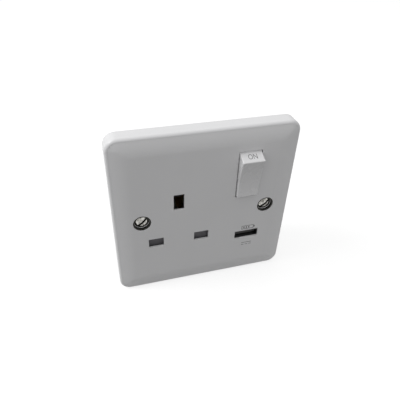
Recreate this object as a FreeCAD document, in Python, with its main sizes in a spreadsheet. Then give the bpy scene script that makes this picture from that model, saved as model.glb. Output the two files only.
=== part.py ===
import FreeCAD, Part
import math
import os

import Sketcher
from FreeCAD import Placement, Rotation, Vector

# A switched 13 A wall socket with a USB charging port, in millimetres.
# X runs to the right, Y into the wall and Z up. The origin is the plate's centre on the wall's
# surface, midway between the fixing screws.

doc = FreeCAD.newDocument("usb_switched_socket")
sheet = doc.addObject("Spreadsheet::Sheet", "Sizes")


class Size:
    """A number together with the sheet expression that gives it."""

    def __init__(self, value, text):
        self.value = float(value)
        self.text = text

    def _join(self, other, sign, value):
        other = as_size(other)
        return Size(value(self.value, other.value), f"({self.text} {sign} {other.text})")

    def __add__(self, other):
        return self._join(other, "+", lambda a, b: a + b)

    def __radd__(self, other):
        return as_size(other) + self

    def __sub__(self, other):
        return self._join(other, "-", lambda a, b: a - b)

    def __rsub__(self, other):
        return as_size(other) - self

    def __mul__(self, other):
        return self._join(other, "*", lambda a, b: a * b)

    def __rmul__(self, other):
        return as_size(other) * self

    def __truediv__(self, other):
        return self._join(other, "/", lambda a, b: a / b)

    def __neg__(self):
        return Size(-self.value, f"(0 - {self.text})")


def as_size(number):
    return number if isinstance(number, Size) else Size(number, repr(float(number)))


def cosine(angle):
    return Size(math.cos(math.radians(angle.value)), f"cos({angle.text} * 1 deg)")


def sine(angle):
    return Size(math.sin(math.radians(angle.value)), f"sin({angle.text} * 1 deg)")


rows = 0


def size(alias, number):
    """Write one driving dimension into the sheet."""
    global rows
    rows += 1
    sheet.set(f"A{rows}", alias.replace("_", " "))
    sheet.set(f"B{rows}", str(number))
    sheet.setAlias(f"B{rows}", alias)
    return Size(number, f"Sizes.{alias}")


# Front plate
plate_width = size("plate_width", 86)
plate_height = size("plate_height", 86)
plate_depth = size("plate_depth", 8.7)
plate_corner = size("plate_corner", 5.5)
plate_edge_round = size("plate_edge_round", 1.5)
face_wall = size("face_wall", 1.6)
crown_width = size("crown_width", 4.5)
crown_fall = size("crown_fall", 1.4)
side_wall = size("side_wall", 2.4)
face_y = -plate_depth
inner_y = face_wall - plate_depth

# Fixing screws and their seats in the plate
fixing_spacing = size("fixing_spacing", 60.3)
recess_radius = size("recess_radius", 4.15)
recess_depth = size("recess_depth", 1.5)
seat_gap = size("seat_gap", 0.05)
fixing_head_radius = size("fixing_head_radius", 3.3)
fixing_head_rim = size("fixing_head_rim", 0.2)
fixing_head_dome = size("fixing_head_dome", 1.0)
fixing_neck_radius = size("fixing_neck_radius", 1.55)
fixing_thread_radius = size("fixing_thread_radius", 1.75)
fixing_hole_clearance = size("fixing_hole_clearance", 0.25)
fixing_tip_y = size("fixing_tip_y", 24)
fixing_thread_start = size("fixing_thread_start", 0.4)
fixing_boss_radius = size("fixing_boss_radius", 5.0)
fixing_boss_end = size("fixing_boss_end", 1.0)
slot_width = size("slot_width", 1.0)
slot_depth = size("slot_depth", 1.1)
fixing_slot_turn = size("fixing_slot_turn", 50)
eyelet_bore = size("eyelet_bore", 3.5)
eyelet_set_in = size("eyelet_set_in", 0.25)
fixing_x = fixing_spacing / 2
recess_floor = face_y + recess_depth
fixing_hole_radius = fixing_thread_radius + fixing_hole_clearance

# Pin apertures: the line and neutral pins lie one spacing below the earth pin and apart
socket_x = size("socket_x", -12.95)
earth_z = size("earth_z", 9.1)
pin_spacing = size("pin_spacing", 22.2)
earth_slot_width = size("earth_slot_width", 4.9)
earth_slot_height = size("earth_slot_height", 8.3)
pin_slot_width = size("pin_slot_width", 7.2)
pin_slot_height = size("pin_slot_height", 5.0)
aperture_skin = size("aperture_skin", 0.8)
aperture_relief = size("aperture_relief", 0.6)
neutral_x = socket_x - pin_spacing / 2
live_x = socket_x + pin_spacing / 2
pin_z = earth_z - pin_spacing

# Shutter
shutter_gap = size("shutter_gap", 0.3)
shutter_thickness = size("shutter_thickness", 1.6)
shutter_travel = size("shutter_travel", 5.6)
blade_cover = size("blade_cover", 0.4)
blade_drop = size("blade_drop", 0.9)
blade_height = size("blade_height", 6.5)
blade_chamfer = size("blade_chamfer", 2.5)
pin_way = size("pin_way", 0.3)
rail_width = size("rail_width", 2.0)
window_low = size("window_low", 10.2)
ramp_back = size("ramp_back", 2.6)
ramp_lip = size("ramp_lip", 0.2)
ramp_top = size("ramp_top", 1.7)
retainer_gap = size("retainer_gap", 0.3)
retainer_thickness = size("retainer_thickness", 1.2)
retainer_view = size("retainer_view", 5.5)
guide_gap = size("guide_gap", 0.2)
guide_width = size("guide_width", 1.0)
guide_length = size("guide_length", 17)
shutter_spring_length = size("shutter_spring_length", 14)
shutter_spring_radius = size("shutter_spring_radius", 1.0)
spring_wire = size("spring_wire", 0.3)
spring_seat_gap = size("spring_seat_gap", 0.05)
anchor_height = size("anchor_height", 1.4)
stake_radius = size("stake_radius", 1.0)
stake_head = size("stake_head", 0.6)
shutter_front = inner_y + shutter_gap
shutter_back = shutter_front + shutter_thickness
retainer_front = shutter_back + retainer_gap
retainer_back = retainer_front + retainer_thickness

# Rocker: its outline seen from the side about its pivot, the same above and below it
rocker_x = size("rocker_x", 19.55)
rocker_z = size("rocker_z", 19.25)
pivot_depth = size("pivot_depth", 2.7)
rocker_width = size("rocker_width", 10.4)
rocker_side_gap = size("rocker_side_gap", 0.35)
rocker_window_height = size("rocker_window_height", 24.3)
rocker_relief = size("rocker_relief", 0.8)
rocker_tilt = size("rocker_tilt", 9)
rocker_proud = size("rocker_proud", 7.6)
rocker_face_half = size("rocker_face_half", 10.5)
rocker_dish_radius = size("rocker_dish_radius", 48)
rocker_shoulder = size("rocker_shoulder", 2.4)
rocker_shoulder_half = size("rocker_shoulder_half", 11.85)
rocker_skirt = size("rocker_skirt", 3.5)
rocker_skirt_half = size("rocker_skirt_half", 11.3)
rocker_skin = size("rocker_skin", 2.4)
rocker_wall = size("rocker_wall", 1.3)
rocker_edge = size("rocker_edge", 0.5)
rocker_end_gap = size("rocker_end_gap", 0.8)
trunnion_radius = size("trunnion_radius", 1.3)
trunnion_length = size("trunnion_length", 1.7)
trunnion_clearance = size("trunnion_clearance", 0.08)
cheek_wall = size("cheek_wall", 1.4)
cheek_half = size("cheek_half", 5)
cheek_depth = size("cheek_depth", 5.6)
cheek_mouth = size("cheek_mouth", 2.2)
pivot_y = inner_y + pivot_depth
window_half = rocker_width / 2 + rocker_side_gap

# Plunger and its spring, along the rocker's own axis
plunger_radius = size("plunger_radius", 1.5)
plunger_clearance = size("plunger_clearance", 0.1)
plunger_length = size("plunger_length", 8.5)
plunger_nose = size("plunger_nose", 0.4)
plunger_gap = size("plunger_gap", 0.08)
plunger_travel = size("plunger_travel", 0.5)
boss_wall = size("boss_wall", 0.9)
boss_length = size("boss_length", 6.5)
boss_floor = size("boss_floor", 4.0)
rocker_spring_radius = size("rocker_spring_radius", 1.15)

# See-saw contact lever, cradle and fixed contact
lever_pivot_y = size("lever_pivot_y", 9.3)
lever_width = size("lever_width", 5)
lever_thickness = size("lever_thickness", 0.8)
lever_lift = size("lever_lift", 0.4)
lever_up = size("lever_up", 9.9)
lever_down = size("lever_down", 5.5)
lever_bump_radius = size("lever_bump_radius", 0.9)
cradle_clearance = size("cradle_clearance", 0.1)
cradle_half = size("cradle_half", 2.4)
cradle_step = size("cradle_step", 0.4)
cradle_ear = size("cradle_ear", 0.7)
cradle_ear_gap = size("cradle_ear_gap", 0.15)
cradle_back = size("cradle_back", 14.0)
strip_thickness = size("strip_thickness", 0.8)
strip_width = size("strip_width", 3.0)
tip_radius = size("tip_radius", 1.2)
tip_height = size("tip_height", 0.5)
tip_arm = size("tip_arm", 8.5)
tip_gap = size("tip_gap", 0.12)

# Pin contacts, sprung leaves that grip a pin
leaf_start = size("leaf_start", 0.5)
leaf_thickness = size("leaf_thickness", 0.6)
leaf_mouth = size("leaf_mouth", 2.9)
leaf_pinch = size("leaf_pinch", 1.7)
leaf_pinch_y = size("leaf_pinch_y", 5.5)
leaf_root = size("leaf_root", 2.5)
leaf_width = size("leaf_width", 6.6)
contact_base_y = size("contact_base_y", 11.6)
earth_base_y = size("earth_base_y", 15.5)
earth_leaf_start = size("earth_leaf_start", -3.0)
earth_leaf_drop = size("earth_leaf_drop", 12)

# Terminals with their clamp screws, in a row along the top
terminal_pitch = size("terminal_pitch", 10.55)
terminal_shift = size("terminal_shift", 1.8)
terminal_width = size("terminal_width", 8.5)
terminal_height = size("terminal_height", 9)
terminal_front = size("terminal_front", 11.5)
wire_hole_radius = size("wire_hole_radius", 2.5)
wire_hole_depth = size("wire_hole_depth", 8)
clamp_radius = size("clamp_radius", 1.7)
clamp_clearance = size("clamp_clearance", 0.1)
clamp_head_radius = size("clamp_head_radius", 2.6)
clamp_head_height = size("clamp_head_height", 1.8)
clamp_travel = size("clamp_travel", 2.5)
clamp_tip_gap = size("clamp_tip_gap", 0.15)
clamp_back_off = size("clamp_back_off", 0.6)

# Rear base moulding
base_half_width = size("base_half_width", 34.2)
base_half_height = size("base_half_height", 31.5)
base_wall = size("base_wall", 1.8)
base_floor = size("base_floor", 2.0)
base_front = size("base_front", 2.0)
base_back = size("base_back", 22)
base_corner = size("base_corner", 3)
base_notch = size("base_notch", 5.2)
wire_entry_margin = size("wire_entry_margin", 0.4)
pillar_gap = size("pillar_gap", 0.05)
floor_y = base_back - base_floor
housing_boss_radius = size("housing_boss_radius", 2.6)
housing_boss_gap = size("housing_boss_gap", 0.1)
housing_boss_end = size("housing_boss_end", 3.0)
housing_x = base_half_width - base_wall - housing_boss_radius - housing_boss_gap
housing_z = base_half_height - base_wall - housing_boss_radius - housing_boss_gap
post_half = size("post_half", 3.6)
housing_shank_radius = size("housing_shank_radius", 1.35)
housing_head_radius = size("housing_head_radius", 2.6)
housing_head_height = size("housing_head_height", 1.6)
housing_grip = size("housing_grip", 4.4)
housing_length = size("housing_length", 11.0)
housing_clearance = size("housing_clearance", 0.2)

# USB charging module
usb_x = size("usb_x", 22.05)
usb_z = size("usb_z", -17.3)
usb_slot_width = size("usb_slot_width", 12.4)
usb_slot_height = size("usb_slot_height", 4.7)
usb_shell_width = size("usb_shell_width", 13.0)
usb_shell_height = size("usb_shell_height", 5.4)
usb_shell_length = size("usb_shell_length", 14)
usb_sheet = size("usb_sheet", 0.35)
usb_gap = size("usb_gap", 0.1)
tongue_width = size("tongue_width", 11.1)
tongue_thickness = size("tongue_thickness", 1.8)
tongue_drop = size("tongue_drop", 0.1)
tongue_set_back = size("tongue_set_back", 2.0)
tongue_block = size("tongue_block", 4.5)
usb_pin_width = size("usb_pin_width", 1.0)
usb_pin_thickness = size("usb_pin_thickness", 0.3)
usb_pin_pitch_inner = size("usb_pin_pitch_inner", 2.0)
usb_pin_pitch_outer = size("usb_pin_pitch_outer", 2.5)
board_left = size("board_left", 11)
board_right = size("board_right", 28.4)
board_front = size("board_front", 1.5)
board_back = size("board_back", 19.5)
board_thickness = size("board_thickness", 1.6)
rib_inset = size("rib_inset", 1.8)
core_half_width = size("core_half_width", 6)
core_height = size("core_height", 9.6)
core_front = size("core_front", 11.5)
core_depth = size("core_depth", 5.5)
core_leg = size("core_leg", 1.9)
winding_reach = size("winding_reach", 1.4)
capacitor_radius = size("capacitor_radius", 2.5)
capacitor_length = size("capacitor_length", 9)
capacitor_gap = size("capacitor_gap", 0.1)
capacitor_pitch = size("capacitor_pitch", 6)
chip_length = size("chip_length", 5)
chip_width = size("chip_width", 4)
chip_height = size("chip_height", 1.5)
fuse_radius = size("fuse_radius", 1.6)
fuse_length = size("fuse_length", 9)
usb_front = face_y + aperture_skin + usb_gap
board_top = usb_z - usb_shell_height / 2 - pillar_gap
board_bottom = board_top - board_thickness

doc.recompute()

# Drawing helpers: an outline is a list of corners, some of its edges arcs

PLANE_ROLES = {"front": "XZ_Plane", "side": "YZ_Plane", "top": "XY_Plane"}
START, END, CENTRE = range(1, 4)


def bind(item, path, amount):
    """Bind one property of an object to the sheet."""
    item.setExpression(path, as_size(amount).text)


def fix_point(sketch, geometry, point, x, y):
    """Hold a sketch point at its distances from the sketch's origin."""
    for kind, amount in (("DistanceX", as_size(x)), ("DistanceY", as_size(y))):
        index = sketch.addConstraint(Sketcher.Constraint(kind, geometry, point, amount.value))
        bind(sketch, f"Constraints[{index}]", amount)


def arc_between(first, last, radius):
    """The arc from first to last that bulges to the left of travel, or right for a minus radius."""
    chord = last - first
    half = chord.Length / 2
    across = Vector(-chord.y, chord.x, 0).normalize()
    side = 1 if radius > 0 else -1
    centre = first + chord * 0.5 - across * side * math.sqrt(radius * radius - half * half)
    begin = math.atan2(first.y - centre.y, first.x - centre.x)
    end = math.atan2(last.y - centre.y, last.x - centre.x)
    if side > 0:
        begin, end = end, begin
    circle = Part.Circle(centre, Vector(0, 0, 1), abs(radius))
    return Part.ArcOfCircle(circle, begin, end if end > begin else end + 2 * math.pi)


def join(sketch, one, other):
    """Tie the ends of two edges that meet."""
    pairs = [(a, b) for a in (START, END) for b in (START, END)]
    gaps = [(sketch.getPoint(one, a) - sketch.getPoint(other, b)).Length for a, b in pairs]
    a, b = pairs[gaps.index(min(gaps))]
    sketch.addConstraint(Sketcher.Constraint("Coincident", one, a, other, b))


def outline(corners, arcs=None):
    """A closed outline; arcs gives the radius of the edge that starts at a corner's number."""
    arcs = arcs or {}

    def draw(sketch):
        corner = [Vector(as_size(x).value, as_size(y).value, 0) for x, y in corners]
        first = sketch.GeometryCount
        count = len(corners)
        for index in range(count):
            ends = corner[index], corner[(index + 1) % count]
            if index in arcs:
                sketch.addGeometry(arc_between(*ends, as_size(arcs[index]).value))
            else:
                sketch.addGeometry(Part.LineSegment(*ends))
        for index in range(count):
            join(sketch, first + index, first + (index + 1) % count)
        for index, (x, y) in enumerate(corners):
            edge = first + index
            at_start = (sketch.getPoint(edge, START) - corner[index]).Length < 1e-6
            fix_point(sketch, edge, START if at_start else END, x, y)
        for index, radius in arcs.items():
            radius = as_size(radius)
            radius = radius if radius.value > 0 else -radius
            row = sketch.addConstraint(Sketcher.Constraint("Radius", first + index, radius.value))
            bind(sketch, f"Constraints[{row}]", radius)

    return draw


def box(left, right, low, high):
    return outline([(left, low), (right, low), (right, high), (left, high)])


def centred_box(x, y, width, height):
    return box(x - width / 2, x + width / 2, y - height / 2, y + height / 2)


def rounded_box(x, y, width, height, radius):
    left, right = x - width / 2, x + width / 2
    low, high = y - height / 2, y + height / 2
    corners = [
        (left + radius, low), (right - radius, low), (right, low + radius), (right, high - radius),
        (right - radius, high), (left + radius, high), (left, high - radius), (left, low + radius),
    ]
    return outline(corners, {index: -radius for index in (1, 3, 5, 7)})


def disc(x, y, radius):
    def draw(sketch):
        centre = Vector(as_size(x).value, as_size(y).value, 0)
        edge = sketch.addGeometry(Part.Circle(centre, Vector(0, 0, 1), as_size(radius).value))
        fix_point(sketch, edge, CENTRE, x, y)
        row = sketch.addConstraint(Sketcher.Constraint("Radius", edge, as_size(radius).value))
        bind(sketch, f"Constraints[{row}]", radius)

    return draw


class Piece:
    """One sub-part: a body whose sketches and features are bound to the sheet."""

    def __init__(self, label):
        self.body = doc.addObject("PartDesign::Body", label)
        self.body.Label = label
        self.label = label
        self.count = 0

    def sketch(self, view, at, outlines):
        self.count += 1
        sketch = self.body.newObject("Sketcher::SketchObject", f"{self.label}_sketch_{self.count}")
        features = self.body.Origin.OriginFeatures
        plane = next(item for item in features if item.Role == PLANE_ROLES[view])
        sketch.AttachmentSupport = [(plane, "")]
        sketch.MapMode = "FlatFace"
        bind(sketch, "AttachmentOffset.Base.z", -as_size(at) if view == "front" else at)
        for draw in outlines:
            draw(sketch)
        return sketch

    def _extrude(self, kind, view, start, end, outlines, reverse):
        profile = self.sketch(view, start, outlines)
        feature = self.body.newObject(f"PartDesign::{kind}", f"{self.label}_{kind}_{self.count}")
        feature.Profile = profile
        feature.Reversed = reverse
        bind(feature, "Length", as_size(end) - start)
        return feature

    def pad(self, view, start, end, *outlines):
        """Add material from start to end, along +Y, +X or +Z by the view."""
        return self._extrude("Pad", view, start, end, outlines, view == "front")

    def pocket(self, view, start, end, *outlines):
        """Take material away from start to end, along the same ways as pad."""
        return self._extrude("Pocket", view, start, end, outlines, view != "front")

    def turn(self, kind, view, *outlines):
        """Revolve a half outline about the sketch's upright axis."""
        profile = self.sketch(view, 0, outlines)
        feature = self.body.newObject(f"PartDesign::{kind}", f"{self.label}_{kind}_{self.count}")
        feature.Profile = profile
        feature.ReferenceAxis = (profile, ["V_Axis"])
        feature.Angle = 360
        return feature

    def round_edges(self, radius, test):
        """Round the edges of the last feature that pass the test."""
        doc.recompute()
        base = self.body.Tip
        names = [f"Edge{i + 1}" for i, edge in enumerate(base.Shape.Edges) if test(edge.BoundBox)]
        feature = self.body.newObject("PartDesign::Fillet", f"{self.label}_fillet_{self.count}")
        feature.Base = (base, names)
        bind(feature, "Radius", radius)
        return feature

    def place(self, x, y, z, axis=Vector(1, 0, 0), angle=None):
        """Put the finished piece where it belongs, turned about one axis."""
        spot = Vector(as_size(x).value, as_size(y).value, as_size(z).value)
        turn = as_size(angle if angle is not None else 0)
        self.body.Placement = Placement(spot, Rotation(axis, turn.value))
        for path, amount in (("x", x), ("y", y), ("z", z)):
            bind(self.body, f"Placement.Base.{path}", amount)
        if angle is not None:
            self.body.setExpression("Placement.Rotation.Angle", f"{turn.text} * 1 deg")
        return self


def near(one, other):
    return abs(one - other) < 1e-4


def coil(label, view, radius, start, length, wire, turns):
    """A compression spring of square wire about the sketch's upright axis."""
    spring = Piece(label)
    half = wire / 2
    profile = spring.sketch(view, 0, [box(radius - half, radius + half, start, start + wire)])
    helix = spring.body.newObject("PartDesign::AdditiveHelix", f"{label}_helix")
    helix.Profile = profile
    helix.ReferenceAxis = (profile, ["V_Axis"])
    helix.Mode = "height-turns-angle"
    helix.Turns = turns
    bind(helix, "Height", length - wire)
    return spring


# Front plate: shell, rolled edge, apertures, screw seats, ribs and bosses

def make_front_plate():
    plate = Piece("front_plate")
    lip = face_y + crown_fall
    plate.pad("front", lip, 0, rounded_box(0, 0, plate_width, plate_height, plate_corner))
    plate.round_edges(plate_edge_round, lambda b: near(b.YMin, lip.value) and near(b.YMax, lip.value))
    plate.pad("front", face_y, lip, rounded_box(
        0, 0, plate_width - 2 * plate_edge_round, plate_height - 2 * plate_edge_round,
        plate_corner - plate_edge_round))
    for plane, across, along in (("top", plate_width / 2, plate_height / 2),
                                 ("side", plate_height / 2, plate_width / 2)):
        plate.pocket(plane, -along, along, *crown_slopes(plane, across - plate_edge_round))
    cavity = rounded_box(
        0, 0, plate_width - 2 * side_wall, plate_height - 2 * side_wall, plate_corner - side_wall
    )
    plate.pocket("front", inner_y, 0, cavity)
    plate.pad("front", inner_y - face_wall / 2, -fixing_boss_end,
              *[disc(side * fixing_x, 0, fixing_boss_radius) for side in (-1, 1)])
    plate.pad("front", inner_y - face_wall / 2, housing_boss_end,
              *[disc(x, z, housing_boss_radius) for x, z in housing_spots()])
    cut_screw_seats(plate)
    cut_apertures(plate)
    add_rocker_cheeks(plate)
    add_shutter_guides(plate)
    return plate


def crown_slopes(plane, half):
    """The wedges that come off two opposite borders, so that the face falls towards them."""
    slopes = []
    for side in (-1, 1):
        corners = [(side * (half - crown_width), face_y), (side * half, face_y),
                   (side * half, face_y + crown_fall)]
        slopes.append(outline([(y, x) for x, y in corners] if plane == "side" else corners))
    return slopes


def cut_screw_seats(plate):
    both = (-1, 1)
    plate.pocket("front", face_y, recess_floor,
                 *[disc(side * fixing_x, 0, recess_radius) for side in both])
    plate.pocket("front", recess_floor - face_wall / 10, -fixing_boss_end + seat_gap,
                 *[disc(side * fixing_x, 0, fixing_hole_radius) for side in both])
    rim = fixing_head_radius + fixing_head_rim + 2 * seat_gap
    for side in both:
        x = side * fixing_x
        seat = plate.sketch("top", 0, [outline([
            (x, recess_floor), (x + rim, recess_floor),
            (x + fixing_hole_radius, recess_floor + rim - fixing_hole_radius),
            (x, recess_floor + rim - fixing_hole_radius),
        ])])
        line = seat.addGeometry(Part.LineSegment(Vector(x.value, 0, 0), Vector(x.value, 1, 0)), True)
        fix_point(seat, line, START, x, 0)
        fix_point(seat, line, END, x, 1)
        groove = plate.body.newObject("PartDesign::Groove", f"screw_seat_{plate.count}")
        groove.Profile = seat
        groove.ReferenceAxis = (seat, ["Axis0"])
        groove.Angle = 360
    depth = housing_length - housing_grip
    plate.pocket("front", housing_boss_end - depth - seat_gap, housing_boss_end,
                 *[disc(x, z, housing_shank_radius + seat_gap) for x, z in housing_spots()])


def cut_apertures(plate):
    plate.pocket("front", face_y, inner_y,
                 centred_box(socket_x, earth_z, earth_slot_width, earth_slot_height),
                 centred_box(neutral_x, pin_z, pin_slot_width, pin_slot_height),
                 centred_box(live_x, pin_z, pin_slot_width, pin_slot_height),
                 centred_box(usb_x, usb_z, usb_slot_width, usb_slot_height),
                 centred_box(rocker_x, rocker_z, 2 * window_half, rocker_window_height))
    grown = 2 * aperture_relief
    plate.pocket("front", face_y + aperture_skin, inner_y,
                 centred_box(socket_x, earth_z, earth_slot_width + grown, earth_slot_height + grown),
                 centred_box(neutral_x, pin_z, pin_slot_width + grown, pin_slot_height + grown),
                 centred_box(live_x, pin_z, pin_slot_width + grown, pin_slot_height + grown),
                 centred_box(usb_x, usb_z, usb_shell_width + 2 * usb_gap, usb_shell_height + 2 * usb_gap))
    half = rocker_window_height / 2
    for way in (-1, 1):
        edge = rocker_z + way * half
        plate.pocket("side", rocker_x - window_half, rocker_x + window_half, outline([
            (inner_y - rocker_relief, edge), (inner_y, edge), (inner_y, edge + way * rocker_relief),
        ]))


def add_rocker_cheeks(plate):
    """Two cheeks carry the rocker's trunnions in holes that open to the rear to snap it in."""
    end = inner_y + cheek_depth
    for side in (-1, 1):
        inner = rocker_x + side * window_half
        outer = rocker_x + side * (window_half + cheek_wall)
        left, right = (inner, outer) if side > 0 else (outer, inner)
        plate.pad("side", left, right, box(inner_y - face_wall / 2, end,
                                           rocker_z - cheek_half, rocker_z + cheek_half))
        plate.pocket("side", left, right,
                     disc(pivot_y, rocker_z, trunnion_radius + trunnion_clearance))
        plate.pocket("side", left, right, box(pivot_y, end, rocker_z - cheek_mouth / 2,
                                              rocker_z + cheek_mouth / 2))


def stake_spots():
    """Two stakes hold the shutter's retainer, one beside the stem and one under the blades."""
    stem = earth_slot_width / 2 + pin_way + rail_width + guide_gap + guide_width + 3 * stake_radius
    low = pin_z - pin_slot_height / 2 - blade_cover - 3 * stake_radius
    return [(socket_x + stem, earth_z), (neutral_x, low)]


def stem_half():
    return earth_slot_width / 2 + pin_way + rail_width


def shutter_top():
    return earth_z + earth_slot_height / 2 + ramp_lip + ramp_top


def add_shutter_guides(plate):
    root = inner_y - face_wall / 2
    inside = stem_half() + guide_gap
    low = earth_z - earth_slot_height / 2 - stake_radius
    for side in (-1, 1):
        one = socket_x + side * inside
        two = socket_x + side * (inside + guide_width)
        left, right = (one, two) if side > 0 else (two, one)
        plate.pad("front", root, retainer_front - guide_gap / 2,
                  box(left, right, low, low + guide_length))
    anchor = shutter_top() + shutter_spring_length
    plate.pad("front", root, retainer_back,
              box(socket_x - rail_width, socket_x + rail_width, anchor, anchor + anchor_height))
    plate.pad("front", root, retainer_back + stake_head,
              *[disc(x, z, stake_radius) for x, z in stake_spots()])


# Shutter: blades over the line and neutral apertures, and a ramp that the earth pin lifts

def make_shutter():
    shutter = Piece("shutter")
    low = pin_z - pin_slot_height / 2 - blade_drop
    high = low + blade_height
    left = neutral_x - pin_slot_width / 2 - blade_cover
    right = live_x + pin_slot_width / 2 + blade_cover
    stem_left, stem_right = socket_x - stem_half(), socket_x + stem_half()
    top = shutter_top()
    shutter.pad("front", shutter_front, shutter_back, outline([
        (left, low), (right, low), (right, high), (stem_right, high), (stem_right, top),
        (stem_left, top), (stem_left, high), (left + blade_chamfer, high),
        (left, high - blade_chamfer),
    ]))
    ramp_front = earth_z + earth_slot_height / 2 + ramp_lip
    lift = earth_slot_height / 2 - shutter_travel + ramp_lip
    ramp_tip = shutter_back + ramp_back
    way = earth_slot_width / 2 + pin_way
    shutter.pocket("front", shutter_front, shutter_back,
                   box(socket_x - way, socket_x + way, earth_z - window_low, ramp_front))
    shutter.pad("side", socket_x - way, socket_x + way, outline([
        (shutter_front, ramp_front), (ramp_tip, earth_z + lift), (ramp_tip, top),
        (shutter_front, top),
    ]))
    return shutter


def make_shutter_spring():
    length = shutter_spring_length - 2 * spring_seat_gap
    spring = coil("shutter_spring", "front", shutter_spring_radius, 0, length, spring_wire, 4)
    middle = (shutter_front + retainer_front) / 2 + shutter_spring_radius / 2
    spring.place(socket_x, middle, shutter_top() + spring_seat_gap)
    return spring


def make_shutter_retainer():
    retainer = Piece("shutter_retainer")
    low = pin_z - pin_slot_height / 2 - blade_cover - 5 * stake_radius
    waist = pin_z + blade_height
    left, right = neutral_x - pin_slot_width / 2 - rail_width, live_x + pin_slot_width / 2 + rail_width
    arm = stem_half() + guide_gap + guide_width + 5 * stake_radius
    top = earth_z + guide_length / 2 + pin_way
    slot = earth_slot_width / 2 + 2 * pin_way
    slot_low = earth_z - earth_slot_height / 2 - retainer_view
    retainer.pad("front", retainer_front, retainer_back, outline([
        (left, low), (right, low), (right, waist), (socket_x + arm, waist), (socket_x + arm, top),
        (socket_x + slot, top), (socket_x + slot, slot_low), (socket_x - slot, slot_low),
        (socket_x - slot, top), (socket_x - arm, top), (socket_x - arm, waist), (left, waist),
    ]))
    retainer.pocket("front", retainer_front, retainer_back,
                    centred_box(neutral_x, pin_z, pin_slot_width + pin_way, pin_slot_height + pin_way),
                    centred_box(live_x, pin_z, pin_slot_width + pin_way, pin_slot_height + pin_way),
                    *[disc(x, z, stake_radius + seat_gap) for x, z in stake_spots()])
    return retainer


# Rocker: dished face, sloping shoulders, hollow back, trunnions and the plunger's boss

def place_on_rocker(piece):
    return piece.place(rocker_x, pivot_y, rocker_z, angle=rocker_tilt)


def make_rocker():
    rocker = Piece("switch_rocker")
    half = rocker_width / 2
    rocker.pad("side", -half, half, outline([
        (-rocker_proud, -rocker_face_half), (-rocker_shoulder, -rocker_shoulder_half),
        (rocker_skirt, -rocker_skirt_half), (rocker_skirt, rocker_skirt_half),
        (-rocker_shoulder, rocker_shoulder_half), (-rocker_proud, rocker_face_half),
    ], {5: rocker_dish_radius}))
    front = -(rocker_shoulder + rocker_edge).value
    rocker.round_edges(rocker_edge, lambda b: b.YMax < front or near(b.YMin, -rocker_proud.value))
    inner_half = half - rocker_wall
    floor = rocker_skin - rocker_proud
    rocker.pocket("side", -inner_half, inner_half, outline([
        (floor, rocker_wall - rocker_face_half), (-rocker_shoulder, rocker_wall - rocker_shoulder_half),
        (rocker_skirt, rocker_wall - rocker_skirt_half), (rocker_skirt, rocker_skirt_half - rocker_wall),
        (-rocker_shoulder, rocker_shoulder_half - rocker_wall), (floor, rocker_face_half - rocker_wall),
    ]))
    bore = plunger_radius + plunger_clearance
    rocker.pad("front", floor - rocker_wall / 2, boss_length, disc(0, 0, bore + boss_wall))
    rocker.pocket("front", -boss_floor, boss_length, disc(0, 0, bore))
    rocker.pad("side", half - rocker_wall / 2, half + trunnion_length, disc(0, 0, trunnion_radius))
    rocker.pad("side", -half - trunnion_length, -half + rocker_wall / 2, disc(0, 0, trunnion_radius))
    return place_on_rocker(rocker)


def plunger_tip():
    """The plunger's reach from the pivot: it clears the level lever by the named gap."""
    return lever_pivot_y - lever_lift - lever_thickness - pivot_y - plunger_gap


def make_plunger():
    plunger = Piece("rocker_plunger")
    back = plunger_tip() - plunger_length
    nose = plunger_tip() - plunger_radius
    plunger.turn("Revolution", "top", outline([
        (0, back), (plunger_radius, back), (plunger_radius, nose),
        (plunger_nose, plunger_tip()), (0, plunger_tip()),
    ]))
    return place_on_rocker(plunger)


def make_rocker_spring():
    back = plunger_tip() - plunger_length
    start = -boss_floor + spring_seat_gap
    length = back - plunger_travel - spring_seat_gap - start
    spring = coil("rocker_spring", "top", rocker_spring_radius, start, length, spring_wire, 3)
    return place_on_rocker(spring)


# Contact lever on its cradle: the rocker tips it one way, the lever answers the other way

def make_lever():
    lever = Piece("contact_lever")
    half = lever_width / 2
    lever.pad("side", -half, half, box(-lever_lift - lever_thickness, -lever_lift,
                                       -lever_down, lever_up))
    lever.pad("side", -half, half, disc(0, 0, lever_bump_radius))
    return lever.place(rocker_x, lever_pivot_y, rocker_z, angle=-rocker_tilt)


def make_lever_tip():
    tip = Piece("lever_contact_tip")
    tip.pad("front", 0, tip_height, disc(0, 0, tip_radius))
    y = lever_pivot_y - lever_lift * cosine(rocker_tilt) + tip_arm * sine(rocker_tilt)
    z = rocker_z + lever_lift * sine(rocker_tilt) + tip_arm * cosine(rocker_tilt)
    return tip.place(rocker_x, y, z, angle=-rocker_tilt)


def fixed_tip_y():
    """The front of the fixed tip: it clears the far edge of the lever's tip by the named gap."""
    reach = (tip_height - lever_lift) * cosine(rocker_tilt)
    return lever_pivot_y + reach + (tip_arm + tip_radius) * sine(rocker_tilt) + tip_gap


def fixed_tip_z():
    reach = tip_height - lever_lift
    return rocker_z + tip_arm * cosine(rocker_tilt) - reach * sine(rocker_tilt)


def fixed_strip_y():
    return contact_base_y + strip_thickness


def make_fixed_tip():
    tip = Piece("fixed_contact_tip")
    tip.pad("front", fixed_tip_y() - fixed_strip_y(), 0, disc(0, 0, tip_radius))
    return tip.place(rocker_x, fixed_strip_y(), fixed_tip_z())


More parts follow.
